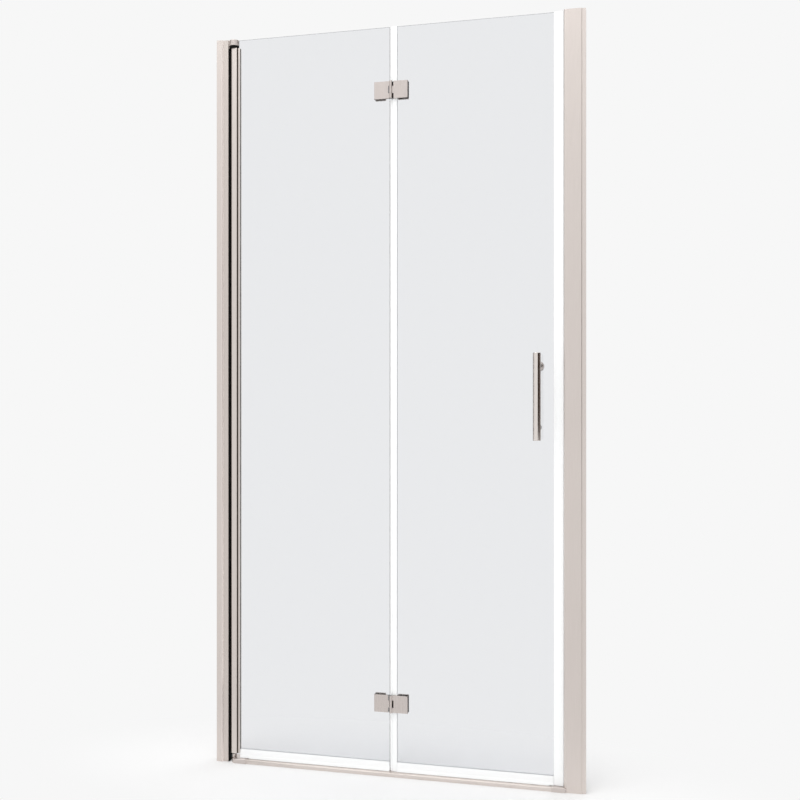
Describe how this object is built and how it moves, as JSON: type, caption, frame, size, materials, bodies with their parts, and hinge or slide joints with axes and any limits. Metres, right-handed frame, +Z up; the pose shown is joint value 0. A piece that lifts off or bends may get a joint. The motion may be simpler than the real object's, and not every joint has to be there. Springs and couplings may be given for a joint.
{
  "type": "folding pivot shower door",
  "caption": "Folding pivot shower door: a glass panel on a turning post carries a hinged glass leaf with a pull bar, between wall jambs and a low threshold rail.",
  "frame": {"origin": "on the shower tray under the threshold rail, at mid width between the walls, in the middle plane of the closed glass", "axes": "+X along the closed door from the hinge wall to the strike wall, +Y into the shower, +Z up"},
  "size_m": [0.92, 0.082, 1.8288],
  "materials": {
    "satin_nickel_aluminium": "anodised satin nickel colour, brushed along the length",
    "satin_nickel_hardware": "plated satin nickel, brushed",
    "stainless_steel": "turned",
    "clear_glass": "clear toughened, polished edges",
    "white_vinyl": "soft extruded white vinyl",
    "black_nylon": "moulded",
    "black_rubber": "extruded",
    "grey_vinyl": "soft extruded grey vinyl",
    "clear_plastic": "clear vinyl sheet",
    "nickel_caps": "plated plastic",
    "magnet_strip": "flexible ferrite strip"
  },
  "bodies": {
    "frame": {"wall_channel_hinge_side": "satin_nickel_aluminium", "hinge_jamb": "satin_nickel_aluminium", "jamb_screws_hinge_side": "stainless_steel", "screw_caps_hinge_side": "nickel_caps", "gap_seal": "black_rubber", "top_pivot_block": "satin_nickel_aluminium", "top_block_screw": "stainless_steel", "top_pivot_pin": "stainless_steel", "bottom_pivot_pin": "stainless_steel", "threshold_rail": "satin_nickel_aluminium", "rail_end_hinge_side": "satin_nickel_aluminium", "rail_end_strike_side": "satin_nickel_aluminium", "wall_channel_strike_side": "satin_nickel_aluminium", "strike_jamb": "satin_nickel_aluminium", "jamb_screws_strike_side": "stainless_steel", "screw_caps_strike_side": "nickel_caps", "strike_magnet_holder": "white_vinyl", "strike_magnet": "magnet_strip"},
    "pivot_panel": {"pivot_post": "satin_nickel_aluminium", "top_bush": "black_nylon", "bottom_bush": "black_nylon", "glazing_gasket": "grey_vinyl", "glass_pivot_panel": "clear_glass", "bottom_seal_pivot_panel": "white_vinyl", "upper_hinge_leaf_pivot_panel": "satin_nickel_hardware", "upper_hinge_clamp_pivot_panel": "satin_nickel_hardware", "upper_hinge_pin": "stainless_steel", "lower_hinge_leaf_pivot_panel": "satin_nickel_hardware", "lower_hinge_clamp_pivot_panel": "satin_nickel_hardware", "hinge_gaskets_pivot_panel": "black_rubber", "hinge_screws_pivot_panel": "stainless_steel"},
    "fold_panel": {"glass_fold_panel": "clear_glass", "fold_seal": "white_vinyl", "edge_magnet_seal": "white_vinyl", "edge_magnet": "magnet_strip", "bottom_seal_fold_panel": "white_vinyl", "upper_hinge_leaf_fold_panel": "satin_nickel_hardware", "upper_hinge_clamp_fold_panel": "satin_nickel_hardware", "lower_hinge_leaf_fold_panel": "satin_nickel_hardware", "lower_hinge_clamp_fold_panel": "satin_nickel_hardware", "lower_hinge_pin": "stainless_steel", "hinge_gaskets_fold_panel": "black_rubber", "hinge_screws_fold_panel": "stainless_steel", "handle_bar": "satin_nickel_hardware", "handle_posts": "satin_nickel_hardware", "handle_washers": "clear_plastic", "handle_sleeves": "clear_plastic", "handle_studs": "stainless_steel", "inside_knob": "satin_nickel_hardware", "inside_cap": "satin_nickel_hardware"}
  },
  "joints": [
    {"name": "door_pivot", "type": "hinge", "parent": "frame", "child": "pivot_panel", "pos_m": [-0.417, 0, 0], "axis": [0, 0, 1], "range_deg": [0, 90]},
    {"name": "fold_hinge", "type": "hinge", "parent": "pivot_panel", "child": "fold_panel", "pos_m": [-0.0067, -0.0115, 0], "axis": [0, 0, -1], "range_deg": [0, 170]}
  ]
}
